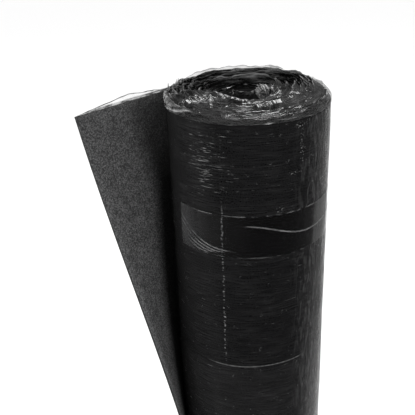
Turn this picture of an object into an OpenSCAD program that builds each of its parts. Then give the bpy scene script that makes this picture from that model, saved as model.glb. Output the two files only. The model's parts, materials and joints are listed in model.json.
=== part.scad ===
// Roll of bituminous roofing felt, standing on its end.
// The outer turn's loose end is pulled open at the top, and lies closed near the floor.
// A clear packing tape still goes most of the way round, and the backing film stands
// past the felt along the top edge.
// Millimetres. Z is the axis of the roll, and z = 0 is the floor that it stands on.

/* [Felt] */
// Width of the sheet, which is the height of the standing roll
felt_w = 1000; // [800:10:1200]
// Thickness of the sheet
felt_t = 2.1; // [1.6:0.1:4]
// Diameter over the wound turns
roll_d = 174; // [140:1:240]
// Diameter of the hole that winding leaves in the middle
bore_d = 60; // [40:1:80]

/* [Loose end] */
// Direction of the cut end where the roll is closed, in degrees from +X
cut_angle = 236; // [222:1:250]
// Direction at which the loose end leaves the roll at the top
root_angle = 132.6; // [118:0.2:145]
// Height above the floor up to which the loose end lies closed
closed_h = 234; // [100:2:300]

/* [Backing film] */
// Height of the film that stands past the felt at the top
film_h = 10; // [5:0.5:16]
// Room that the wrinkled film takes on the loose end's edge
film_t = 1.2; // [0.8:0.1:2]
// How far the folded film stays back from the bore
film_back = 6; // [2:0.5:12]

/* [Packing tape] */
// Width of the tape
tape_w = 48; // [24:1:75]
// Thickness of the tape
tape_t = 0.1; // [0.06:0.01:0.2]
// Distance from the top of the felt down to the tape
tape_drop = 96; // [40:1:150]
// Direction of the tape's torn end, at the front
tape_from = 211.5; // [206:0.5:230]
// Direction of the tape's other end, behind the roll
tape_to = 94; // [0:1:98]

/* [Hidden] */
$fn = 128;

roll_r = roll_d / 2;
bore_r = bore_d / 2;
film_r = bore_r + film_back;
open_h = felt_w - closed_h;
tape_sweep = 360 + tape_to - tape_from;

// Turns that show on the ends, as fine grooves between one turn and the next
turns = floor((roll_r - bore_r) / felt_t);
groove_w = 0.24 * felt_t;
groove_depth = 1.2;

// The last stretch of the outer turn, which lies on the roll and then leaves it
lap_start = 100;
lap_step = 0.3;
lap_rise = 0.9 * felt_t - lap_step;
lap_bury = 0.9;
lap_cols = 24;
open_rows = 20;

// Grooves across an end at height z, from the inner turns out, cut down or up into it
function end_grooves(z, inner_r, depth) = [
    for (k = [turns - 1 : -1 : 1])
        let (r = roll_r - k * felt_t)
            if (r - groove_w / 2 > inner_r)
                each [[r - groove_w / 2, z], [r, z + depth], [r + groove_w / 2, z]]
];
function reversed(list) = [for (i = [len(list) - 1 : -1 : 0]) list[i]];

// Half of the roll's section: the bore, the grooved ends and the outside
function roll_outline() = concat(
    [[bore_r, 0]],
    end_grooves(0, bore_r, groove_depth),
    [[roll_r, 0], [roll_r, felt_w]],
    reversed(end_grooves(felt_w, bore_r, -groove_depth)),
    [[bore_r, felt_w]]
);

// Half of the section of the film that is folded over the top end
function film_outline() = concat(
    [[film_r, felt_w], [roll_r, felt_w], [roll_r, felt_w + film_h]],
    reversed(end_grooves(felt_w + film_h, film_r, -groove_depth)),
    [[film_r, felt_w + film_h]]
);

// Direction at which the sheet leaves the roll at a height
function leave_angle(z) =
    min(cut_angle, root_angle + (cut_angle - root_angle) * (felt_w - z) / open_h);

// Radius of the sheet's outer face where it still lies on the roll
function lap_r(a) = roll_r + lap_step + lap_rise * (a - lap_start) / (cut_angle - lap_start);

function radial(a) = [cos(a), sin(a)];
function along(a) = [-sin(a), cos(a)];
function arc_len(a) = roll_r * a * PI / 180;

// A point on the sheet's outer or inner face. a says how far along the sheet it is.
function outer_point(a, z) =
    let (leave = leave_angle(z), on = min(a, leave))
        lap_r(on) * radial(on) + arc_len(a - on) * along(on);
function inner_point(a, z) =
    let (leave = leave_angle(z))
        a <= leave
            ? (roll_r - lap_bury) * radial(a)
            : outer_point(a, z) - felt_t * radial(leave);

lap_angles = [for (i = [0 : lap_cols]) lap_start + (cut_angle - lap_start) * i / lap_cols];
lap_heights = concat([0], [for (j = [0 : open_rows]) felt_w - open_h * (1 - j / open_rows)]);

// Closed solid between two faces given on the same grid of rows and columns
module sheet_between(outer, inner) {
    rows = len(outer);
    cols = len(outer[0]);
    side = rows * cols;
    points = concat([for (row = outer) each row], [for (row = inner) each row]);
    outer_faces = [
        for (j = [0 : rows - 2], i = [0 : cols - 2])
            let (p = j * cols + i)
                each [[p, p + cols, p + 1], [p + 1, p + cols, p + cols + 1]]
    ];
    inner_faces = [for (f = outer_faces) [f[2] + side, f[1] + side, f[0] + side]];
    loop = concat(
        [for (i = [0 : cols - 1]) i],
        [for (j = [1 : rows - 1]) j * cols + cols - 1],
        [for (i = [cols - 2 : -1 : 0]) (rows - 1) * cols + i],
        [for (j = [rows - 2 : -1 : 1]) j * cols]
    );
    rim_faces = [
        for (k = [0 : len(loop) - 1])
            let (p = loop[k], q = loop[(k + 1) % len(loop)])
                each [[p, q, p + side], [q, q + side, p + side]]
    ];
    polyhedron(points, concat(outer_faces, inner_faces, rim_faces));
}

module wound_turns() {
    rotate_extrude() polygon(roll_outline());
}

module loose_end() {
    sheet_between(
        [for (z = lap_heights) [for (a = lap_angles) concat(outer_point(a, z), z)]],
        [for (z = lap_heights) [for (a = lap_angles) concat(inner_point(a, z), z)]]
    );
}

module felt_roll() {
    color("#262626") union() {
        wound_turns();
        loose_end();
    }
}

// Film folded over the ends of the turns, and the strip along the loose end's edge
module backing_film() {
    leave = leave_angle(felt_w);
    strip_back = 12;
    color("#8c8f92") union() {
        rotate_extrude() polygon(film_outline());
        rotate(leave) translate([lap_r(leave) - film_t, -strip_back, felt_w])
            cube([film_t, arc_len(cut_angle - leave) + strip_back, film_h]);
    }
}

module packing_tape() {
    color("#c8cdd2") rotate(tape_from) rotate_extrude(angle = tape_sweep)
        translate([roll_r, felt_w - tape_drop - tape_w]) square([tape_t, tape_w]);
}

felt_roll();
backing_film();
packing_tape();
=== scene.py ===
"""A roll of roofing felt standing on its end: the wound sheet with its loose end pulled open at the
top, the crumpled margin of its backing film, and a clear packing tape. Metres throughout."""
import json
import math

import bmesh
import bpy
import numpy as np
from mathutils import Matrix, Vector


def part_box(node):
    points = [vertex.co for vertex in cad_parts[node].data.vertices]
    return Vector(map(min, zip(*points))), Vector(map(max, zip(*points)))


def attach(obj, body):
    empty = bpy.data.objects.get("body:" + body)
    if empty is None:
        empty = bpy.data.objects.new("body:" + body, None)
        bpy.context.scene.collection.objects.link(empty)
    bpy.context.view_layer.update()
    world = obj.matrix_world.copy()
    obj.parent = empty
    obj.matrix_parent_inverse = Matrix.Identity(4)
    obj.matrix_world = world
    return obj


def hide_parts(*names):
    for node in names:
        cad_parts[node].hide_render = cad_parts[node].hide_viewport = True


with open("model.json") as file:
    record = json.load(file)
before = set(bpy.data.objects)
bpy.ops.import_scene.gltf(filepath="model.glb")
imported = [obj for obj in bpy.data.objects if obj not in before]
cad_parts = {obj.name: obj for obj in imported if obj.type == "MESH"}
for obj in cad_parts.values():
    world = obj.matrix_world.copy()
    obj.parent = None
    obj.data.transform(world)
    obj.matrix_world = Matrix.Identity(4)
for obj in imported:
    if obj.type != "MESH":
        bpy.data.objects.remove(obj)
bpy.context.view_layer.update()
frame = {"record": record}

felt_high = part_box("felt_roll")[1]
tape_low, tape_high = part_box("packing_tape")
mounts = {mount["name"]: mount for mount in frame["record"]["mounts"]}

MM = 0.001
top = felt_high[2]  # height of the felt's upper edge
roll_r = felt_high[0]  # radius over the wound turns
bore_r = mounts["bore"]["dims"]["r_mm"] * MM

# The wound sheet. Its places are told by winding angle in degrees, which rises to CUT at the cut end.
CUT = 236.0
ROOT = 132.6  # where the loose end leaves the roll at the top
CLOSED_H = 0.234  # the loose end lies closed up to this height
PITCH = 2.1 * MM  # one turn to the next
FELT_T = 1.9 * MM
end_r = roll_r + PITCH / 2
TURNS = int((end_r - bore_r) / PITCH)
LAST_TURNS = -240.0  # the finely made outer turns start here

TAPE_FROM = 211.5 - 360
TAPE_TO = 94.0
CREASE_Z = top - 0.282
CREASE_WAVE = 0.021
IMPRINT = 248.0 - 360  # where the cut end used to lie
GAP_RISE = 0.10  # the shade in the gap behind the loose end softens over this much of its top
# patches of pale specks on the film: direction, depth below the top, half width and half height
SPECK_PATCHES = (
    (302, 0.006, 5 * MM, 3 * MM),
    (304, 0.030, 2.2 * MM, 20 * MM),
    (298, 0.054, 6 * MM, 2 * MM),
    (288, 0.092, 4 * MM, 4 * MM),
    (281, 0.097, 3 * MM, 1.2 * MM),
    (291, 0.110, 2.5 * MM, 4 * MM),
)


# ---------------------------------------------------------------- numbers
def lattice_noise(x, y, seed):
    """Smooth noise from -1 to 1, with a new value at each whole x and y."""
    table = np.random.default_rng(seed).uniform(-1, 1, (256, 256))
    column, row = np.floor(x).astype(int), np.floor(y).astype(int)
    fx, fy = x - column, y - row
    fx, fy = fx * fx * (3 - 2 * fx), fy * fy * (3 - 2 * fy)
    near = table[column % 256, row % 256] * (1 - fx) + table[(column + 1) % 256, row % 256] * fx
    far = table[column % 256, (row + 1) % 256] * (1 - fx) + table[(column + 1) % 256, (row + 1) % 256] * fx
    return near * (1 - fy) + far * fy


def layered_noise(x, y, seed, layers=3):
    """Noise with finer layers on top, from about -1 to 1."""
    total = sum(0.5**k * lattice_noise(x * 2**k, y * 2**k, seed + k) for k in range(layers))
    return total / (2 - 0.5 ** (layers - 1))


def ridges(x, y, seed, layers=3):
    """Noise made of sharp ridges on soft hollows, from 0 to 1."""
    total = sum(
        0.5**k * (1 - np.abs(lattice_noise(x * 2**k, y * 2**k, seed + k))) ** 2 for k in range(layers)
    )
    return total / (2 - 0.5 ** (layers - 1))


def smooth(low, high, value):
    """0 below low, 1 above high, and a soft step between."""
    share = np.clip((value - low) / (high - low), 0, 1)
    return share * share * (3 - 2 * share)


def bump_at(value, centre, width):
    """A bell of height 1 at centre."""
    return np.exp(-(((value - centre) / width) ** 2))


# ---------------------------------------------------------------- meshes
def add_mesh(name, points, faces, materials, worn=None, flat=(), place=None, pale=None):
    """A mesh object that rides on the part. worn is each face's material, and flat those shaded flat.
    place and pale tell the materials where each point lies on its sheet, and how pale the film is, from its
    milkiness and from painted light and shade."""
    mesh = bpy.data.meshes.new(name)
    mesh.from_pydata(points.reshape(-1, 3).tolist(), [], faces)
    for material in materials:
        mesh.materials.append(material)
    worn = np.zeros(len(mesh.polygons), np.int32) if worn is None else np.asarray(worn, np.int32)
    mesh.polygons.foreach_set("material_index", worn)
    mesh.polygons.foreach_set("use_smooth", ~np.isin(worn, flat))
    if place is not None:
        spot = mesh.attributes.new("place", "FLOAT_VECTOR", "POINT")
        spot.data.foreach_set("vector", np.ascontiguousarray(place, np.float32).ravel())
    if pale is not None:
        milky = mesh.attributes.new("pale", "FLOAT", "POINT")
        milky.data.foreach_set("value", np.ascontiguousarray(pale, np.float32).ravel())
    mesh.update()
    piece = bpy.data.objects.new(name, mesh)
    bpy.context.scene.collection.objects.link(piece)
    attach(piece, "root")
    return piece


def turn_faces_out(piece):
    """Makes the faces of a closed mesh point outwards."""
    work = bmesh.new()
    work.from_mesh(piece.data)
    bmesh.ops.recalc_face_normals(work, faces=work.faces)
    work.to_mesh(piece.data)
    work.free()


def grid_faces(columns, rows, start=0):
    """Quads over a grid of points stored column by column."""
    corner = (np.arange(columns - 1)[:, None] * rows + np.arange(rows - 1)[None, :]).ravel() + start
    return np.stack([corner, corner + rows, corner + rows + 1, corner + 1], -1).tolist()


def border(columns, rows, start=0):
    """The points round a grid's border, in order."""
    first = [i * rows for i in range(columns)]
    second = [(columns - 1) * rows + j for j in range(1, rows)]
    third = [i * rows + rows - 1 for i in range(columns - 2, -1, -1)]
    fourth = [j for j in range(rows - 2, 0, -1)]
    return [start + k for k in first + second + third + fourth]


def stitch(fine, coarse, ratio):
    """Faces between two closed borders, where ratio steps of the fine one make one of the coarse one."""
    faces = []
    for k, here in enumerate(coarse):
        after = coarse[(k + 1) % len(coarse)]
        edge = [fine[(k * ratio + i) % len(fine)] for i in range(ratio + 1)]
        faces.append(edge + [after, here])
    return faces


# ---------------------------------------------------------------- the sheet's shape
def along_sheet(angle):
    """Distance along the sheet at a winding angle."""
    return math.radians(angle) * roll_r


def radial(angle):
    return np.stack([np.cos(np.radians(angle)), np.sin(np.radians(angle))], -1)


def along(angle):
    return np.stack([-np.sin(np.radians(angle)), np.cos(np.radians(angle))], -1)


def leave_angle(z):
    """Winding angle at which the sheet leaves the roll at a height."""
    return np.minimum(CUT, ROOT + (CUT - ROOT) * (top - z) / (top - CLOSED_H))


def face_radius(wind):
    """Radius of the sheet's outer face, which the turns wind loosely enough to wander a little."""
    wander = 0.12 * MM * layered_noise(wind / 35, wind * 0 + 0.5, 11)
    return end_r - PITCH * (CUT - wind) / 360 + wander


def sheet_point(wind, z, lift):
    """Place on the sheet's outer face, lifted along its normal."""
    on = np.minimum(wind, leave_angle(z))
    reach = np.radians(wind - on) * roll_r
    flat_place = (face_radius(on) + lift)[..., None] * radial(on) + reach[..., None] * along(on)
    return np.concatenate([flat_place, z[..., None]], -1)


def skin_lift(wind, z):
    """How far the film skin of the outer turns is raised in wrinkles."""
    s = np.radians(wind) * roll_r
    free = smooth(0, 25, wind - leave_angle(z))
    waves = 0.22 * MM * layered_noise(s / 0.05, z / 0.032, 21, 2)
    hoops = 0.10 * MM * layered_noise(s / 0.09, z / 0.010, 24, 2)
    left = bump_at(wind, 239 - 360, 13) * bump_at(z, top - 0.055, 0.05)
    tucks = 0.34 * MM * left * ridges(s / 0.026 + z / 0.05, z / 0.008, 31, 2)
    right = smooth(305 - 360, 335 - 360, wind) * (1 - smooth(0, 30, wind))
    uprights = 0.34 * MM * right * layered_noise(s / 0.0085 + z / 0.12, z / 0.045, 41, 2)
    crease = 0.30 * MM * bump_at(z, CREASE_Z + 0.6 * MM * np.sin(s / CREASE_WAVE), 1.7 * MM)
    crease = crease * smooth(232 - 360, 240 - 360, wind) * (1 - smooth(300 - 360, 312 - 360, wind))
    return (waves + hoops + tucks + uprights) * (1 - 0.75 * free) + crease * (1 - free)


# ---------------------------------------------------------------- node helpers
def new_material(name):
    material = bpy.data.materials.new(name)
    material.use_nodes = True
    tree = material.node_tree
    return material, tree, tree.nodes["Principled BSDF"]


def put(tree, kind, inputs=(), **settings):
    """Adds a node, sets its properties and its input values or links."""
    node = tree.nodes.new(kind)
    for key, value in settings.items():
        setattr(node, key, value)
    for key, value in dict(inputs).items():
        if isinstance(value, bpy.types.NodeSocket):
            tree.links.new(value, node.inputs[key])
        else:
            node.inputs[key].default_value = value
    return node


def maths(tree, operation, first, second=0.0, third=0.0):
    return put(tree, "ShaderNodeMath", {0: first, 1: second, 2: third}, operation=operation).outputs[0]


def remap(tree, value, low, high, to_low=0.0, to_high=1.0):
    """Clamped linear change of range."""
    node = put(
        tree,
        "ShaderNodeMapRange",
        {"Value": value, "From Min": low, "From Max": high, "To Min": to_low, "To Max": to_high},
    )
    return node.outputs["Result"]


def place_scaled(tree, scale):
    """The piece's own place on the sheet (along, up, 0) in metres, times a scale for each way."""
    spot = put(tree, "ShaderNodeAttribute", attribute_name="place").outputs["Vector"]
    return put(tree, "ShaderNodeVectorMath", {0: spot, 1: scale}, operation="MULTIPLY").outputs["Vector"]


def noise(tree, vector, scale, detail=3.0, roughness=0.55, distortion=0.0):
    values = {"Vector": vector, "Scale": scale, "Detail": detail}
    values.update({"Roughness": roughness, "Distortion": distortion})
    return put(tree, "ShaderNodeTexNoise", values).outputs["Fac"]


def sheet_spot(tree):
    """The piece's own place on the sheet: how far along it and how high, in metres."""
    spot = put(tree, "ShaderNodeAttribute", attribute_name="place").outputs["Vector"]
    apart = put(tree, "ShaderNodeSeparateXYZ", {0: spot})
    return apart.outputs["X"], apart.outputs["Y"]


def blend_colours(tree, share, first, second):
    """A colour between two colours, each of them a socket or plain red, green and blue."""
    node = put(tree, "ShaderNodeMix", {"Factor": share}, data_type="RGBA")
    for key, colour in (("A", first), ("B", second)):
        if isinstance(colour, bpy.types.NodeSocket):
            tree.links.new(colour, node.inputs[key])
        else:
            node.inputs[key].default_value = (*colour, 1)
    return next(out for out in node.outputs if out.type == "RGBA")


def oval_distance(tree, s, z, angle, drop, wide, tall):
    """Squared distance from a point of the skin, counted in half widths and half heights of an oval."""
    dx = maths(tree, "DIVIDE", maths(tree, "SUBTRACT", s, along_sheet(angle - 360)), wide)
    dz = maths(tree, "DIVIDE", maths(tree, "SUBTRACT", z, top - drop), tall)
    return maths(tree, "ADD", maths(tree, "MULTIPLY", dx, dx), maths(tree, "MULTIPLY", dz, dz))


def group(name, inputs, outputs):
    """A shader node group. Gives its tree, and the nodes that hold its inputs and outputs."""
    tree = bpy.data.node_groups.new(name, "ShaderNodeTree")
    for label, kind, value in inputs:
        socket = tree.interface.new_socket(label, in_out="INPUT", socket_type=kind)
        if value is not None:
            socket.default_value = value
    for label, kind in outputs:
        tree.interface.new_socket(label, in_out="OUTPUT", socket_type=kind)
    return tree, tree.nodes.new("NodeGroupInput"), tree.nodes.new("NodeGroupOutput")


def use_group(tree, made, inputs):
    return put(tree, "ShaderNodeGroup", inputs, node_tree=made)


# ---------------------------------------------------------------- effects that materials share
def crinkle_group():
    """Fine crinkles of a thin film: a height and a mask of its sharp lines."""
    tree, given, result = group(
        "film crinkle",
        [
            ("Place", "NodeSocketVector", None),
            ("Size", "NodeSocketFloat", 120.0),
            ("Sharpness", "NodeSocketFloat", 3.0),
        ],
        [("Height", "NodeSocketFloat"), ("Lines", "NodeSocketFloat")],
    )
    soft = noise(tree, given.outputs["Place"], given.outputs["Size"], 4.0, 0.6, 0.6)
    fold = maths(tree, "ABSOLUTE", maths(tree, "SUBTRACT", soft, 0.5))
    line = maths(tree, "SUBTRACT", 1.0, maths(tree, "MULTIPLY", fold, 6.0))
    line = maths(tree, "POWER", maths(tree, "MAXIMUM", line, 0.0), given.outputs["Sharpness"])
    height = maths(tree, "ADD", soft, maths(tree, "MULTIPLY", line, 0.35))
    tree.links.new(height, result.inputs["Height"])
    tree.links.new(line, result.inputs["Lines"])
    return tree


def grit_group():
    """Mineral grit pressed into bitumen: a height, each grain's own tone and a mask of the bare gaps."""
    tree, given, result = group(
        "mineral grit",
        [("Place", "NodeSocketVector", None), ("Size", "NodeSocketFloat", 900.0)],
        [("Height", "NodeSocketFloat"), ("Tone", "NodeSocketFloat"), ("Gaps", "NodeSocketFloat")],
    )
    grains = put(
        tree,
        "ShaderNodeTexVoronoi",
        {"Vector": given.outputs["Place"], "Scale": given.outputs["Size"], "Randomness": 1.0},
        feature="F1",
    )
    dome = remap(tree, grains.outputs["Distance"], 0.0, 0.7, 1.0, 0.0)
    tone = put(tree, "ShaderNodeSeparateColor", {0: grains.outputs["Color"]}).outputs[0]
    gaps = remap(tree, grains.outputs["Distance"], 0.45, 0.7)
    height = maths(tree, "MULTIPLY", dome, remap(tree, tone, 0.0, 1.0, 0.35, 1.0))
    for label, value in (("Height", height), ("Tone", tone), ("Gaps", gaps)):
        tree.links.new(value, result.inputs[label])
    return tree


def speck_row_group():
    """Pale specks in an upright beaded row, where the cut end used to lie."""
    tree, given, result = group(
        "row of specks",
        [("Place", "NodeSocketVector", None), ("Centre", "NodeSocketFloat", 0.0)],
        [("Mask", "NodeSocketFloat")],
    )
    apart = put(tree, "ShaderNodeSeparateXYZ", {0: given.outputs["Place"]})
    sway = maths(tree, "SUBTRACT", noise(tree, given.outputs["Place"], 110.0, 2.0, 0.5), 0.5)
    across = maths(tree, "SUBTRACT", apart.outputs["X"], given.outputs["Centre"])
    across = maths(tree, "ABSOLUTE", maths(tree, "MULTIPLY_ADD", sway, 0.006, across))
    stretched = put(
        tree, "ShaderNodeVectorMath", {0: given.outputs["Place"], 1: (60, 460, 0)}, operation="MULTIPLY"
    )
    beads = remap(tree, noise(tree, stretched.outputs["Vector"], 1.0, 2.0, 0.6), 0.52, 0.61)
    row = maths(tree, "MULTIPLY", remap(tree, across, 0.0002, 0.0012, 1.0, 0.0), beads)
    row = maths(tree, "MULTIPLY", row, remap(tree, apart.outputs["Y"], top - 0.285, top - 0.25))
    row = maths(tree, "MULTIPLY", row, remap(tree, apart.outputs["Y"], top - 0.085, top - 0.10, 0.1, 1.0))
    tree.links.new(row, result.inputs["Mask"])
    return tree


CRINKLE = crinkle_group()
SPECK_ROW = speck_row_group()
GRIT = grit_group()


# ---------------------------------------------------------------- materials
def black_film_skin():
    """The felt's outer face: bitumen under a thin bonded film, drawn into fine hoops by the winding."""
    material, tree, shader = new_material("black film skin")
    s, z = sheet_spot(tree)
    # fine hoops round the roll, longer ripples, and upright puckers on its right side
    hoops = noise(tree, place_scaled(tree, (38, 760, 0)), 1.0, 2.0, 0.6, 0.3)
    ripples = noise(tree, place_scaled(tree, (16, 170, 0)), 1.0, 3.0, 0.6, 0.4)
    puckers = noise(tree, place_scaled(tree, (230, 48, 0)), 1.0, 3.0, 0.6, 0.9)
    crinkle = use_group(tree, CRINKLE, {"Place": place_scaled(tree, (1, 1.6, 0)), "Size": 95.0})
    right = remap(tree, s, along_sheet(296 - 360), along_sheet(320 - 360))
    right_end = remap(tree, s, along_sheet(-8), along_sheet(22), 1.0, 0.0)
    right = maths(tree, "MULTIPLY", right, right_end)
    height = maths(tree, "MULTIPLY", hoops, 0.30)
    height = maths(tree, "MULTIPLY_ADD", ripples, 0.30, height)
    height = maths(tree, "MULTIPLY_ADD", puckers, remap(tree, right, 0, 1, 0.07, 1.1), height)
    height = maths(tree, "MULTIPLY_ADD", crinkle.outputs["Height"], 0.16, height)
    bump = put(tree, "ShaderNodeBump", {"Height": height, "Strength": 1.0, "Distance": 0.0012})
    haze = noise(tree, place_scaled(tree, (22, 60, 0)), 1.0, 3.0, 0.6)
    lines = remap(tree, hoops, 0.40, 0.66)
    grain = noise(tree, place_scaled(tree, (1, 1, 0)), 850.0, 2.0, 0.7)
    shade = maths(tree, "MULTIPLY", lines, remap(tree, haze, 0.35, 0.65, 0.35, 1.0))
    shade = maths(tree, "MULTIPLY_ADD", shade, 0.55, remap(tree, grain, 0.38, 0.66, 0.0, 0.45))
    base = blend_colours(tree, shade, (0.0010, 0.0010, 0.0011), (0.0135, 0.0135, 0.0138))
    # the marks hold pale specks, the crease and paler film, and painted light: glints on the tucks and
    # reflection streaks on the right
    marks_and_glints = maths(tree, "MAXIMUM", pale_specks(tree, s, z), painted_tuck_glints(tree, s, z))
    marks_and_glints = maths(tree, "MAXIMUM", marks_and_glints, crease_line(tree, s, z))
    # the film is paler on the left side and below the crease
    left_side = remap(tree, s, along_sheet(224 - 360), along_sheet(246 - 360), 0.042, 0.0)
    below = remap(tree, z, CREASE_Z - 0.012, CREASE_Z, 0.022, 0.0)
    paler_share = maths(tree, "ADD", left_side, below)
    paler_film = maths(tree, "MULTIPLY", maths(tree, "MULTIPLY_ADD", shade, 0.8, 0.3), paler_share)
    marks_and_glints = maths(tree, "ADD", marks_and_glints, paler_film)
    # pale streaks over the puckers of the right side: a painted reflection
    reflection_streaks = maths(tree, "MULTIPLY", remap(tree, puckers, 0.48, 0.68, 0.0, 0.16), right)
    marks_and_glints = maths(tree, "ADD", marks_and_glints, reflection_streaks)
    marked = blend_colours(tree, marks_and_glints, base, (0.20, 0.20, 0.20))
    tree.links.new(marked, shader.inputs["Base Color"])
    shader.inputs["Specular IOR Level"].default_value = 0.11
    rough = remap(tree, haze, 0.3, 0.7, 0.15, 0.26)
    tree.links.new(maths(tree, "MULTIPLY_ADD", marks_and_glints, 0.4, rough), shader.inputs["Roughness"])
    tree.links.new(bump.outputs["Normal"], shader.inputs["Normal"])
    return material


def painted_tuck_glints(tree, s, z):
    """Mask of pale dashes on the short wavy tucks: a painted glint, where the tucks catch the light."""
    dashes = noise(tree, place_scaled(tree, (66, 760, 0)), 1.0, 3.0, 0.62, 0.8)
    clumps = noise(tree, place_scaled(tree, (55, 95, 0)), 1.0, 2.0, 0.5)
    far = oval_distance(tree, s, z, 238, 0.040, 0.022, 0.036)
    many = remap(tree, far, 0.0, 2.4, 0.11, 0.0)
    many = maths(tree, "MULTIPLY_ADD", remap(tree, clumps, 0.3, 0.7), 0.055, many)
    depth = maths(tree, "SUBTRACT", dashes, maths(tree, "SUBTRACT", 0.72, many))
    return remap(tree, depth, 0.0, 0.09, 0.0, 0.68)


def pale_specks(tree, s, z):
    """Mask of pale specks on the film: a row where the cut end used to lie, some patches, and strays."""
    dots = noise(tree, place_scaled(tree, (1, 0.9, 0)), 720.0, 1.0, 0.5)
    clumps = noise(tree, place_scaled(tree, (1, 1, 0)), 110.0, 2.0, 0.5)
    spot = place_scaled(tree, (1, 1, 1))
    row = use_group(tree, SPECK_ROW, {"Place": spot, "Centre": along_sheet(IMPRINT)})
    share = maths(tree, "MULTIPLY", row.outputs["Mask"], 0.7)
    for angle, drop, wide, tall in SPECK_PATCHES:
        near = remap(tree, oval_distance(tree, s, z, angle, drop, wide, tall), 0.1, 1.9, 1.0, 0.0)
        patch = maths(tree, "MULTIPLY", near, remap(tree, dots, 0.62, 0.70))
        share = maths(tree, "MAXIMUM", share, patch)
    stray = maths(tree, "MULTIPLY", remap(tree, clumps, 0.62, 0.72), remap(tree, dots, 0.60, 0.68))
    return maths(tree, "MAXIMUM", share, maths(tree, "MULTIPLY", stray, 0.4))


def crease_line(tree, s, z):
    """Mask of the pale, gently waving crease that runs level round the front."""
    sway = maths(tree, "MULTIPLY", maths(tree, "SINE", maths(tree, "DIVIDE", s, CREASE_WAVE)), 0.6 * MM)
    off = maths(tree, "SUBTRACT", z, maths(tree, "ADD", sway, CREASE_Z))
    line = remap(tree, maths(tree, "ABSOLUTE", off), 0.3 * MM, 1.0 * MM, 1.0, 0.0)
    begin, end = along_sheet(233 - 360), along_sheet(312 - 360)
    line = maths(tree, "MULTIPLY", line, remap(tree, s, begin, begin + 0.012))
    line = maths(tree, "MULTIPLY", line, remap(tree, s, end - 0.012, end, 1.0, 0.0))
    broken = noise(tree, place_scaled(tree, (170, 60, 0)), 1.0, 2.0, 0.5)
    return maths(tree, "MULTIPLY", line, remap(tree, broken, 0.35, 0.6, 0.10, 0.36))


def gap_shade(tree, s, z):
    """Mask of the shade in the gap behind the loose end, by how far out from the roll the felt is."""
    slant = along_sheet(CUT - ROOT) / (top - CLOSED_H)
    reach = maths(tree, "SUBTRACT", s, along_sheet(ROOT) + slant * top)
    reach = maths(tree, "MULTIPLY_ADD", z, slant, reach)
    dark_to, light_from, deepest = (
        remap(tree, z, top - GAP_RISE, top, below, at_top)
        for below, at_top in ((0.043, 0.078), (0.066, 0.104), (0.97, 0.52))
    )
    return remap(tree, reach, dark_to, light_from, deepest, 0.0)


def grit_face():
    """The felt's inner face: dark mineral grit rolled into the bitumen."""
    material, tree, shader = new_material("mineral grit face")
    grit = use_group(tree, GRIT, {"Place": place_scaled(tree, (1, 1, 0)), "Size": 780.0})
    patches = noise(tree, place_scaled(tree, (1, 1, 0)), 75.0, 4.0, 0.6)
    fine = noise(tree, place_scaled(tree, (1, 1, 0)), 1500.0, 2.0, 0.6)
    tone = maths(tree, "MULTIPLY", grit.outputs["Tone"], remap(tree, patches, 0.3, 0.7, 0.6, 1.15))
    tone = maths(tree, "ADD", maths(tree, "MULTIPLY", tone, 0.8), maths(tree, "MULTIPLY", fine, 0.25))
    tone = maths(tree, "MULTIPLY", tone, remap(tree, grit.outputs["Gaps"], 0, 1, 1.0, 0.45))
    # the felt is lighter lower down and darker near its top edge
    s, z = sheet_spot(tree)
    tone = maths(tree, "MULTIPLY", tone, remap(tree, z, top - 0.26, top, 1.60, 0.80))
    colour = blend_colours(
        tree, remap(tree, tone, 0.08, 1.0), (0.014, 0.014, 0.0145), (0.125, 0.125, 0.126)
    )
    shaded = blend_colours(tree, gap_shade(tree, s, z), colour, (0.002, 0.002, 0.002))
    tree.links.new(shaded, shader.inputs["Base Color"])
    tree.links.new(remap(tree, tone, 0.0, 1.0, 0.95, 0.6), shader.inputs["Roughness"])
    height = grit.outputs["Height"]
    bump = put(tree, "ShaderNodeBump", {"Height": height, "Strength": 0.9, "Distance": 0.0007})
    tree.links.new(bump.outputs["Normal"], shader.inputs["Normal"])
    return material


def cut_felt():
    """The sheet's cut edges: bitumen with grit and torn fibres."""
    material, tree, shader = new_material("cut felt edge")
    spot = put(tree, "ShaderNodeTexCoord").outputs["Object"]
    grit = use_group(tree, GRIT, {"Place": spot, "Size": 1100.0})
    fibre = noise(tree, spot, 420.0, 4.0, 0.7, 1.0)
    tone = maths(tree, "MULTIPLY", grit.outputs["Tone"], 0.4)
    tone = maths(tree, "ADD", tone, maths(tree, "MULTIPLY", fibre, 0.5))
    colour = blend_colours(tree, tone, (0.004, 0.004, 0.004), (0.035, 0.035, 0.035))
    tree.links.new(colour, shader.inputs["Base Color"])
    shader.inputs["Roughness"].default_value = 0.75
    height = maths(tree, "ADD", grit.outputs["Height"], fibre)
    bump = put(tree, "ShaderNodeBump", {"Height": height, "Strength": 0.8, "Distance": 0.0006})
    tree.links.new(bump.outputs["Normal"], shader.inputs["Normal"])
    return material


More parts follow.
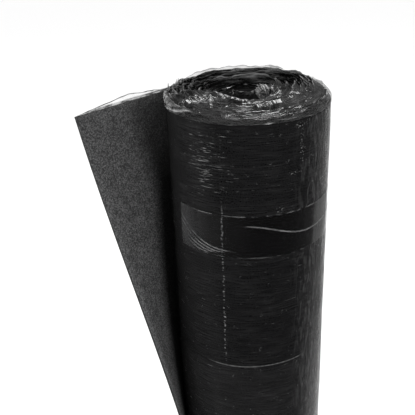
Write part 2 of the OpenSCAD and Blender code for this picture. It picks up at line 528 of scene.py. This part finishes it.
def thin_film(name, tone, solid, crinkle_size, relief=0.7 * MM):
    """Thin plastic film, milky on its folds, with the painted light and shade that its pale attribute
    carries. tone and solid each go from the hollows to the folds.
    """
    material, tree, shader = new_material(name)
    crinkle = use_group(
        tree, CRINKLE, {"Place": place_scaled(tree, (0.45, 1.5, 9)), "Size": crinkle_size, "Sharpness": 2.5}
    )
    streak = noise(tree, place_scaled(tree, (45, 480, 300)), 1.0, 3.0, 0.6, 0.5)
    cloud = noise(tree, place_scaled(tree, (38, 95, 70)), 1.0, 2.0, 0.5)
    pale = put(tree, "ShaderNodeAttribute", attribute_name="pale").outputs["Fac"]
    share = maths(tree, "MULTIPLY", streak, 0.8)
    share = maths(tree, "MULTIPLY_ADD", crinkle.outputs["Lines"], 0.25, share)
    share = maths(tree, "MULTIPLY_ADD", cloud, 0.6, share)
    share = remap(tree, maths(tree, "MULTIPLY_ADD", pale, 1.1, share), 0.65, 2.0)
    share = maths(tree, "POWER", share, 1.6)
    dark, light = tone
    colour = blend_colours(tree, share, (dark,) * 3, (light,) * 3)
    tree.links.new(colour, shader.inputs["Base Color"])
    tree.links.new(remap(tree, share, 0.0, 0.7, solid[0], solid[1]), shader.inputs["Alpha"])
    tree.links.new(remap(tree, streak, 0.3, 0.7, 0.12, 0.30), shader.inputs["Roughness"])
    height = maths(tree, "ADD", crinkle.outputs["Height"], streak)
    bump = put(tree, "ShaderNodeBump", {"Height": height, "Strength": 0.8, "Distance": relief})
    tree.links.new(bump.outputs["Normal"], shader.inputs["Normal"])
    return material


def clear_tape():
    """Clear packing tape, stuck flat over the dark film, and milky along its creases and torn end."""
    material, tree, shader = new_material("clear packing tape")
    s, _ = sheet_spot(tree)
    crease = put(tree, "ShaderNodeAttribute", attribute_name="pale").outputs["Fac"]
    ripple = noise(tree, place_scaled(tree, (14, 190, 0)), 1.0, 2.0, 0.5)
    patchy = noise(tree, place_scaled(tree, (60, 60, 0)), 1.0, 3.0, 0.5)
    lifted = remap(tree, maths(tree, "MULTIPLY_ADD", patchy, 0.020, s), 0.020, 0.042, 0.13, 0.0)
    spot = place_scaled(tree, (1, 1, 1))
    row = use_group(tree, SPECK_ROW, {"Place": spot, "Centre": along_sheet(IMPRINT - TAPE_FROM)})
    crease = maths(tree, "MAXIMUM", crease, maths(tree, "MULTIPLY", row.outputs["Mask"], 0.4))
    milky = maths(tree, "MAXIMUM", lifted, crease)
    colour = blend_colours(tree, milky, (0.0012, 0.0012, 0.0013), (0.32, 0.32, 0.323))
    tree.links.new(colour, shader.inputs["Base Color"])
    solid = maths(tree, "MAXIMUM", remap(tree, patchy, 0.3, 0.7, 0.58, 0.78), crease)
    tree.links.new(solid, shader.inputs["Alpha"])
    tree.links.new(remap(tree, ripple, 0.3, 0.7, 0.09, 0.15), shader.inputs["Roughness"])
    shader.inputs["Specular IOR Level"].default_value = 1.0
    bump = put(tree, "ShaderNodeBump", {"Height": ripple, "Strength": 0.35, "Distance": 0.0006})
    tree.links.new(bump.outputs["Normal"], shader.inputs["Normal"])
    return material


SKIN = black_film_skin()
GRIT_FACE = grit_face()
CUT_FELT = cut_felt()
FOLDED_FILM = thin_film("folded backing film", (0.003, 0.23), (0.86, 0.98), 110.0, 0.38 * MM)
# its light tone on the knot's ridges is a painted glint
BORE_FILM = thin_film("film in the bore", (0.004, 0.62), (0.86, 0.98), 300.0, 1.2 * MM)
SMOOTH_FILM = thin_film("smooth backing film", (0.004, 0.20), (0.90, 0.98), 60.0, 0.12 * MM)
RIM_FILM = thin_film("rim of the backing film", (0.02, 0.42), (0.25, 0.75), 80.0, 0.3 * MM)
EDGE_FILM = thin_film("standing backing film", (0.12, 0.03), (0.04, 0.95), 90.0)
TAPE = clear_tape()


# ---------------------------------------------------------------- the felt
def felt_sheet(name, winds, heights, ratio, lifted):
    """A stretch of the sheet, with its outer face finer than its inner one by ratio."""
    wind, z = np.meshgrid(winds, heights, indexing="ij")
    lift = skin_lift(wind, z) if lifted else np.zeros_like(wind)
    outer = sheet_point(wind, z, lift)
    coarse_wind, coarse_z = wind[::ratio, ::ratio], z[::ratio, ::ratio]
    inner = sheet_point(coarse_wind, coarse_z, np.full_like(coarse_wind, -FELT_T))
    columns, rows = wind.shape
    few_columns, few_rows = coarse_wind.shape
    outer_faces = grid_faces(columns, rows)
    inner_faces = grid_faces(few_columns, few_rows, outer[..., 0].size)
    rim = stitch(border(columns, rows), border(few_columns, few_rows, outer[..., 0].size), ratio)
    points = np.concatenate([outer.reshape(-1, 3), inner.reshape(-1, 3)])
    place = np.concatenate([sheet_place(wind, z), sheet_place(coarse_wind, coarse_z)])
    worn = [0] * len(outer_faces) + [1] * len(inner_faces) + [2] * len(rim)
    piece = add_mesh(
        name, points, outer_faces + inner_faces + rim, [SKIN, GRIT_FACE, CUT_FELT], worn, (2,), place
    )
    turn_faces_out(piece)
    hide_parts("felt_roll")


def sheet_place(wind, z):
    """Distance along the sheet and up it, for the materials."""
    return np.stack([np.radians(wind) * roll_r, z, z * 0], -1).reshape(-1, 3)


def even(low, high, step, ratio):
    """Evenly spread values from low to high, as many steps as ratio divides."""
    count = max(1, round((high - low) / step / ratio)) * ratio
    return np.linspace(low, high, count + 1)


def make_felt():
    step = math.degrees(3.0 * MM / roll_r)
    felt_sheet("outer_turns", even(LAST_TURNS, CUT, step, 4), even(0, top, 3.4 * MM, 4), 4, True)
    inner_start = CUT - 360 * TURNS
    lip = 0.8 * MM
    felt_sheet(
        "inner_turns",
        even(inner_start, LAST_TURNS, 5.0, 1),
        np.array([0, lip, top / 2, top - lip, top]),
        1,
        False,
    )


# ---------------------------------------------------------------- the film margin
RIM_LEAF = 0  # the seed of the outermost leaf
LONG_LEAF = 40.0  # the leaf this many millimetres in reaches further on the right


def film_leaf(inset, front_length, back_length, tilt, seed, right_reach=0.0):
    """Points of one turn's margin of film, which stands on the felt's end and is folded in over it."""
    base_r = roll_r - inset
    longest = max(front_length, back_length) + right_reach
    columns = max(120, round(2 * math.pi * base_r / (1.5 * MM)))
    rows = max(7, round(longest / (1.3 * MM)))
    angle, t = np.meshgrid(np.linspace(0, 360, columns + 1), np.linspace(0, 1, rows + 1), indexing="ij")
    turn = radial(angle)
    x, y = turn[..., 0] * base_r, turn[..., 1] * base_r
    front = np.clip((1 - turn[..., 1]) / 2 + 0.22 * np.abs(turn[..., 0]), 0, 1)
    sway = layered_noise(x / 0.040 + seed, y / 0.040, 50 + seed, 2)
    upright = bump_at((angle + 4) % 360, 180, 22)
    lean = (26 + 74 * front + 24 * sway * (1 - 0.5 * front) + tilt) * (1 - 0.75 * upright)
    back_height = back_length * (0.62 + 0.38 * bump_at(angle, 86, 42))
    reach = back_height + (front_length - back_height) * front * (1 - 0.6 * upright)
    reach = reach + right_reach * bump_at((angle + 176) % 360, 180, 30)
    reach = reach * (1 + 0.26 * layered_noise(x / 0.018, y / 0.018, 80 + seed, 3))
    cross = t * reach
    bend = np.radians(lean) * smooth(0.3 * MM, 10 * MM, cross)
    step = reach / rows
    inward = np.cumsum(np.sin(bend) * step, 1) - np.sin(bend) * step
    upward = np.cumsum(np.cos(bend) * step, 1) - np.cos(bend) * step
    arc = np.radians(angle) * base_r
    creases = ridges(x / 0.042, y / 0.042 + cross / 0.0055, 100 + seed, 2)
    crumple = layered_noise(x / 0.017 + cross / 0.02, y / 0.017 - cross / 0.013, 130 + seed, 3)
    pleats = np.abs(lattice_noise(arc / 0.0042, cross / 0.03, 160 + seed))
    curl = 2.4 * MM * smooth(0.7, 1, t) * layered_noise(x / 0.011, y / 0.011, 190 + seed, 2)
    behind = np.clip(turn[..., 1] + 0.25, 0, 1)
    calm = (1 - 0.65 * bump_at((angle + 190) % 360, 180, 34)) * (1 - 0.35 * behind)
    calm = calm * (1 - 0.35 * bump_at(angle, 228, 34))
    push = (1.7 * MM * (creases - 0.5) + 2.0 * MM * crumple) * calm + 2.4 * MM * upright * (pleats - 0.3)
    push = push * smooth(0.0, 7 * MM, cross) + curl
    r = base_r - inward + push * np.cos(bend)
    height = top + upward + push * np.sin(bend)
    points = np.concatenate([r[..., None] * turn, height[..., None]], -1)
    # milky on the raised creases, the free edge and the pleats, and dark in the hollows: the film's own
    # milkiness, with painted light on its raised parts and painted shade in its hollows
    broken = smooth(-0.5, 0.5, layered_noise(arc / 0.009, cross / 0.006, 220 + seed, 2))
    pale = 0.55 * smooth(0.45, 0.95, creases) * (0.4 + 0.6 * broken) + 0.22 * crumple
    pale = pale + 0.6 * smooth(0.88, 1.0, t) * broken + 1.1 * upright * smooth(0.45, 0.85, pleats)
    bands = smooth(0.60, 0.92, ridges(arc / 0.07, cross / 0.0034, 240 + seed, 2))
    pale = pale + behind * (0.85 * bands * broken + 0.7 * smooth(0.82, 1.0, t) + 0.02)
    pale = pale - 0.36 * smooth(0.5, 1.0, front)
    pale = pale + 0.30 * bump_at(angle, 194, 26) * (0.4 + 0.6 * broken)
    if seed == RIM_LEAF:
        # the rim is milky on the right and in folds on the left, and in front it has a painted highlight
        # along its folds
        pale = pale + 0.8 * bump_at((angle + 180) % 360, 180, 40)
        pale = pale + 1.3 * bump_at(angle, 200, 20) * (0.15 + creases) * (0.6 + 0.4 * broken)
        pale = pale + 0.45 * bump_at(angle, 288, 26) * smooth(0.4, 0.9, creases)
    return points, np.stack([arc, cross, np.full_like(arc, seed * 0.37)], -1), np.clip(pale, 0, 1)


def add_film(name, grids, material):
    """One piece of film made of several grids of points, with their places and milkiness."""
    faces = []
    start = 0
    for spots, _, _ in grids:
        columns, rows = spots.shape[:2]
        faces += grid_faces(columns, rows, start)
        start += columns * rows
    points = np.concatenate([spots.reshape(-1, 3) for spots, _, _ in grids])
    places = np.concatenate([place.reshape(-1, 3) for _, place, _ in grids])
    pale = np.concatenate([milky.ravel() for _, _, milky in grids])
    piece = add_mesh(name, points, faces, [material], place=places, pale=pale)
    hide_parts("backing_film")


def make_top_film():
    add_film("rim_film", [film_leaf(-0.3 * MM, 13 * MM, 15 * MM, -4, RIM_LEAF)], RIM_FILM)
    # how far in each leaf stands, its length at the front and at the back, and its extra lean
    leaves = [
        (2.0, 24, 8.5, 4),
        (5.0, 23, 7.0, 0),
        (8.5, 25, 11.5, -4),
        (12.5, 24, 6.5, 4),
        (17.0, 25, 11.0, -8),
        (21.0, 24, 6.0, 0),
        (25.5, 25, 11.0, -6),
        (30.5, 25, 6.5, 8),
        (35.0, 26, 10.0, -10),
        (LONG_LEAF, 23, 12.5, -14),
        (44.5, 12, 9.0, 20),
        (49.0, 10, 9.0, 34),
        (53.5, 12, 10.0, 60),
    ]
    grids = [
        film_leaf(inset * MM, front * MM, back * MM, tilt, seed, 9 * MM * (inset == LONG_LEAF))
        for seed, (inset, front, back, tilt) in enumerate(leaves, 1)
    ]
    add_film("folded_film", grids, FOLDED_FILM)
    # a puckered fold in front on the right, a short one on the left, and one at the bore's lip
    folds = [
        smooth_fold(Vector((18, -54)), 38, 6.5, 10.7, 17, (-0.03, 0.37), 0.44, 501),
        smooth_fold(Vector((-61, -41)), 9, 4.0, 11.5, -48, (-0.12, 0.38), 0.08, 502),
        smooth_fold(Vector((-12, -36)), 20, 2.8, 10.6, -20, (-0.05, 0.38), 0.24, 503),
    ]
    add_film("smooth_film_folds", folds, SMOOTH_FILM)
    add_film("bore_film", [crumpled_knot(), hanging_loop()], BORE_FILM)
    add_film("film_strands", film_strands(), RIM_FILM)


def smooth_fold(centre, length, half_width, high, turn, slope, rough, seed):
    """A smooth sloping facet of film, puckered along its length. Sizes are in millimetres."""
    u, v = np.meshgrid(np.linspace(-1, 1, 97), np.linspace(-1, 1, 25), indexing="ij")
    on = radial(np.array(float(turn))) * length / 2
    arc = u * length / 2
    ragged = 1 + 0.35 * layered_noise(arc / 3.5, v * 0.7, seed + 2, 3)
    across = radial(np.array(turn + 90.0)) * half_width * ragged[..., None]
    off = u[..., None] * on + v[..., None] * across
    deep = rough * (1 - 0.82 * smooth(0.30, 0.65, u))
    gathers = lattice_noise(arc / 1.3, v * 0.8, seed)
    puckers = deep * (gathers + 1.2 * layered_noise(arc / 5, v, seed + 1, 2))
    dip = 4.5 * (smooth(0.45, 1.0, np.abs(v)) + smooth(0.65, 1.0, np.abs(u)))
    height = high + slope[0] * off[..., 0] + slope[1] * off[..., 1] + puckers - dip
    points = np.concatenate([(np.array(centre) + off) * MM, top + height[..., None] * MM], -1)
    place = np.stack([arc * MM, v * half_width * MM, v * 0 + seed * 0.13], -1)
    return points, place, 0.1 + 0.25 * gathers


def crumpled_knot():
    """A knot of film pushed into the mouth of the bore."""
    around, down = np.meshgrid(np.linspace(0, 360, 91), np.linspace(4, 176, 51), indexing="ij")
    polar = np.radians(down)
    ray = np.concatenate([radial(around) * np.sin(polar)[..., None], np.cos(polar)[..., None]], -1)
    x, y, z = ray[..., 0], ray[..., 1], ray[..., 2]
    folds = ridges(x * 3.4 + z * 2.6 + 9, y * 3.4 - z * 2.9 + x * 1.3 + 9, 401, 3)
    size = 7.2 * MM * (0.45 + 0.85 * folds)
    points = ray * size[..., None] * np.array([1.0, 0.9, 0.95])
    points = points + np.array([16.5 * MM, 8.5 * MM, top + 4.0 * MM])
    place = np.stack([around * 1.3e-4, down * 1.3e-4, down * 0 + 7.7], -1)
    # the knot is paler on its ridges: a painted glint
    return points, place, 0.25 + 0.9 * smooth(0.5, 0.85, folds)


def hanging_loop():
    """A turned-over loop of film beside the knot."""
    share, t = np.meshgrid(np.linspace(0, 1, 80), np.linspace(0, 1, 15), indexing="ij")
    angle = 215 - 220 * share
    wave = layered_noise(share * 11, t * 2.5, 411, 3)
    r = (15.0 - 5.0 * t) * MM + 2.2 * MM * wave
    points = radial(angle) * r[..., None] * np.array([1.0, 0.75]) + np.array([-4.5 * MM, 8.0 * MM])
    height = top - 1.5 * MM + 5.5 * MM * t + 1.8 * MM * np.sin(share * 7) + 2.0 * MM * wave
    points = np.concatenate([points, height[..., None]], -1)
    pale = 0.1 + 0.8 * smooth(0.8, 1, t) + 0.5 * smooth(0.2, 0.7, wave)
    return points, np.stack([share * 0.05, t * 0.01, t * 0 + 8.8], -1), pale


def film_strands():
    """Torn strands of film that stand up along the left of the roll."""
    draw = np.random.default_rng(611)
    strands = []
    for k in range(46):
        u, t = np.meshgrid(np.linspace(-1, 1, 3), np.linspace(0, 1, 9), indexing="ij")
        angle = draw.uniform(148, 214)
        inset = draw.uniform(0.5, 22) * MM
        length = draw.uniform(9, 15) * MM
        lean, twist = draw.uniform(-4, 4) * MM, draw.uniform(-2.5, 1.5) * MM
        width = draw.uniform(0.8, 1.9) * MM * (1 - 0.75 * t)
        side = u * width + lean * t**1.6
        out = roll_r - inset + twist * t**2 + 0.3 * MM * u
        spots = out[..., None] * radial(np.array(angle)) + side[..., None] * along(np.array(angle))
        height = top - 1 * MM + length * t
        place = np.stack([side, t * length, t * 0 + k * 0.21], -1)
        strands.append((np.concatenate([spots, height[..., None]], -1), place, 1.0 + 0.2 * t))
    return strands


def make_edge_film():
    """The strip of film that stands up along the loose end's top edge."""
    start = ROOT - 14  # it begins a little before the loose end leaves the roll
    foot = 1.5 * MM  # how far down behind the felt's edge it starts
    wind, t = np.meshgrid(np.linspace(start, CUT, 130), np.linspace(0, 1, 17), indexing="ij")
    share = (wind - start) / (CUT - start)
    tall = np.interp(share, (0, 0.3, 0.46, 0.62, 1.0), (2.4, 3.0, 5.2, 8.4, 0.5)) * MM
    tall = tall * (1 + 0.08 * layered_noise(wind / 6, wind * 0, 201, 2))
    edge = sheet_point(wind, np.full_like(wind, top), np.full_like(wind, 0.15 * MM))
    on = np.minimum(wind, leave_angle(np.full_like(wind, top)))
    sway = 1.6 * MM * t**1.4 * layered_noise(wind / 9, t * 0.8, 203, 2) - 1.0 * MM * t**2
    points = edge.copy()
    points[..., :2] += sway[..., None] * radial(on)
    above = t * (tall + foot) - foot
    points[..., 2] += above
    place = np.stack([np.radians(wind) * roll_r, t * tall, t * 0 + 5.0], -1)
    # its free edge and its foot show as darker lines
    outline = 1.0 * smooth(1.7 * MM, 0.7 * MM, tall - above) * smooth(0.25, 0.5, share)
    outline = np.maximum(outline, (1.1 - 0.4 * share) * smooth(3.6 * MM, 2.2 * MM, above))
    outline = outline * (0.85 + 0.15 * layered_noise(wind / 5, t * 4, 205, 2))
    piece = add_mesh(
        "loose_end_film",
        points.reshape(-1, 3),
        grid_faces(*wind.shape),
        [EDGE_FILM],
        place=place.reshape(-1, 3),
        pale=outline,
    )
    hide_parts("backing_film")


# ---------------------------------------------------------------- the tape
def make_tape():
    winds = np.linspace(TAPE_FROM, TAPE_TO, round(along_sheet(TAPE_TO - TAPE_FROM) / MM))
    heights = np.linspace(tape_low[2], tape_high[2], 109)
    wind, z = np.meshgrid(winds, heights, indexing="ij")
    s = np.radians(wind - TAPE_FROM) * roll_r
    up = z - tape_low[2]
    width = tape_high[2] - tape_low[2]
    # curved wrinkles that sweep down from the torn end and run together, in millimetres
    wrinkles = np.zeros_like(s)
    sweeps = ((6.2, 29, 25), (4.5, 25, 22), (2.9, 21, 19), (1.4, 17, 15))
    for k, (low, fall, reach) in enumerate(sweeps):
        path = (low + fall * np.exp(-((s / (reach * MM)) ** 1.3))) * MM
        path = path + 0.35 * MM * layered_noise(s / 0.009, s * 0 + k, 320 + k, 2)
        fade = 1 - smooth((50 - 7 * k) * MM, (70 - 9 * k) * MM, s)
        wrinkles = np.maximum(wrinkles, fade * bump_at(up, path, 0.42 * MM))
    # one long thin wrinkle, round the front and the right
    front = np.radians(wind - (262 - 360)) * roll_r
    path = (36.5 - 15.5 * smooth(0.004, 0.078, front) + 4.5 * smooth(0.085, 0.13, front)) * MM
    path = path + 0.3 * MM * np.sin(front / 0.011)
    fade = smooth(0, 12 * MM, front) * (1 - smooth(0.15, 0.19, front))
    wrinkles = np.maximum(wrinkles, 0.8 * fade * bump_at(up, path, 0.5 * MM))
    lift = skin_lift(wind, z) * 0.55 + 0.22 * MM + 0.5 * MM * wrinkles
    # the torn end has come away a little
    lift = lift + 0.5 * MM * bump_at(s, 0, 7 * MM)
    tear = 0.5 * MM * layered_noise(up / 0.003, up * 0, 301, 2) * bump_at(s, 0, 2 * MM)
    outer = sheet_point(wind + np.degrees(tear / roll_r), z, lift)
    # how pale the tape is: along its wrinkles, and in broken lines along its two edges
    broken = smooth(-0.35, 0.5, layered_noise(s / 0.006, z / 0.004, 341, 2))
    rims = 0.55 * bump_at(up, width, 0.8 * MM) + 0.28 * bump_at(up, 0, 0.8 * MM)
    pale = np.maximum(wrinkles * (0.50 + 0.45 * broken), rims * broken)
    piece = add_mesh(
        "packing_tape_band",
        outer.reshape(-1, 3),
        grid_faces(*wind.shape),
        [TAPE],
        place=np.stack([s, z, z * 0], -1).reshape(-1, 3),
        pale=pale,
    )
    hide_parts("packing_tape")


# ---------------------------------------------------------------- camera, floor and light
def make_camera():
    """Looks level along +Y, from in front and above, turned down and rolled a little."""
    pitch, roll = math.radians(25.78), math.radians(2.194)
    ahead = Vector((0, math.cos(pitch), -math.sin(pitch)))
    right, down = Vector((1, 0, 0)), Vector((0, -math.sin(pitch), -math.cos(pitch)))
    image_right = right * math.cos(roll) + down * math.sin(roll)
    image_down = down * math.cos(roll) - right * math.sin(roll)
    data = bpy.data.cameras.new("camera")
    data.sensor_width = 36.0
    data.lens = 61.9
    camera = bpy.data.objects.new("camera", data)
    turn = Matrix((image_right, -image_down, -ahead)).transposed()
    place = Vector((-0.529 * roll_r, -8.29 * roll_r, top + 2.562 * roll_r))
    camera.matrix_world = Matrix.Translation(place) @ turn.to_4x4()
    bpy.context.scene.collection.objects.link(camera)
    bpy.context.scene.camera = camera


def plain_stage(name, points, faces, colour):
    mesh = bpy.data.meshes.new(name)
    mesh.from_pydata(points, [], faces)
    material, tree, shader = new_material(name)
    shader.inputs["Base Color"].default_value = (*colour, 1)
    shader.inputs["Roughness"].default_value = 0.9
    shader.inputs["Specular IOR Level"].default_value = 0.1
    mesh.materials.append(material)
    thing = bpy.data.objects.new(name, mesh)
    bpy.context.scene.collection.objects.link(thing)
    return thing, tree, shader


def make_dark_card():
    """A dark card on the floor in front, which only reflections see. It grows paler towards its sides."""
    turns = np.array([0, 30, 60, 75, 90, 102, 103, 112, 122, 145.0])
    glows = np.array([0.05, 0.05, 0.07, 0.10, 0.14, 0.18, 0.60, 0.58, 0.54, 0.52])
    left_glows = np.array([0.30, 0.30, 0.30, 0.30, 0.30, 0.30, 0.28, 0.20, 0.10])
    turns, glows = np.concatenate([-turns[:0:-1], turns]), np.concatenate([left_glows, glows])
    reaches = np.array([0.10, 0.75, 0.95, 1.25, 6.0])
    gains = np.array([2.0, 1.9, 1.4, 1.0, 0.9])
    turn, reach = np.meshgrid(turns - 90, reaches, indexing="ij")
    points = np.concatenate([radial(turn) * reach[..., None], np.full_like(turn, 0.004)[..., None]], -1)
    card, tree, shader = plain_stage(
        "dark_card", points.reshape(-1, 3).tolist(), grid_faces(*turn.shape), (0.0, 0.0, 0.0)
    )
    glow = card.data.attributes.new("glow", "FLOAT", "POINT")
    strength = np.minimum(glows[:, None] * gains[None, :], 1.0)
    glow.data.foreach_set("value", strength.astype(np.float32).ravel())
    shader.inputs["Emission Color"].default_value = (1, 1, 1, 1)
    read = put(tree, "ShaderNodeAttribute", attribute_name="glow")
    tree.links.new(read.outputs["Fac"], shader.inputs["Emission Strength"])
    card.visible_camera = False
    card.visible_diffuse = False
    card.visible_shadow = False
    card.visible_transmission = False


def make_studio():
    far = 30.0
    corners = [(-far, -far, 0), (far, -far, 0), (far, far, 0), (-far, far, 0)]
    plain_stage("floor", corners, [(0, 1, 2, 3)], (0.8,) * 3)
    make_dark_card()
    world = bpy.data.worlds.new("studio")
    world.use_nodes = True
    sky = world.node_tree.nodes["Background"]
    sky.inputs["Color"].default_value = (1, 1, 1, 1)
    shiny = put(world.node_tree, "ShaderNodeLightPath").outputs["Is Glossy Ray"]
    world.node_tree.links.new(remap(world.node_tree, shiny, 0, 1, 1.25, 0.20), sky.inputs["Strength"])
    bpy.context.scene.world = world
    for name, place, size, power in (
        ("overhead", (0.35, 1.3, 3.2), 0.9, 34.0),
        ("front_left", (-1.6, -1.8, 3.2), 0.8, 6.0),
        ("low_front", (-0.35, -3.2, 0.7), 0.7, 46.0),
    ):
        lamp = bpy.data.lights.new(name, "AREA")
        lamp.size = size
        lamp.energy = power
        thing = bpy.data.objects.new(name, lamp)
        thing.location = place
        aim = Vector((0, 0, top)) - Vector(place)
        thing.rotation_euler = aim.to_track_quat("-Z", "Y").to_euler()
        thing.visible_glossy = name != "low_front"
        bpy.context.scene.collection.objects.link(thing)
    bpy.context.scene.view_settings.view_transform = "Standard"


make_camera()
make_felt()
make_top_film()
make_edge_film()
make_tape()
make_studio()
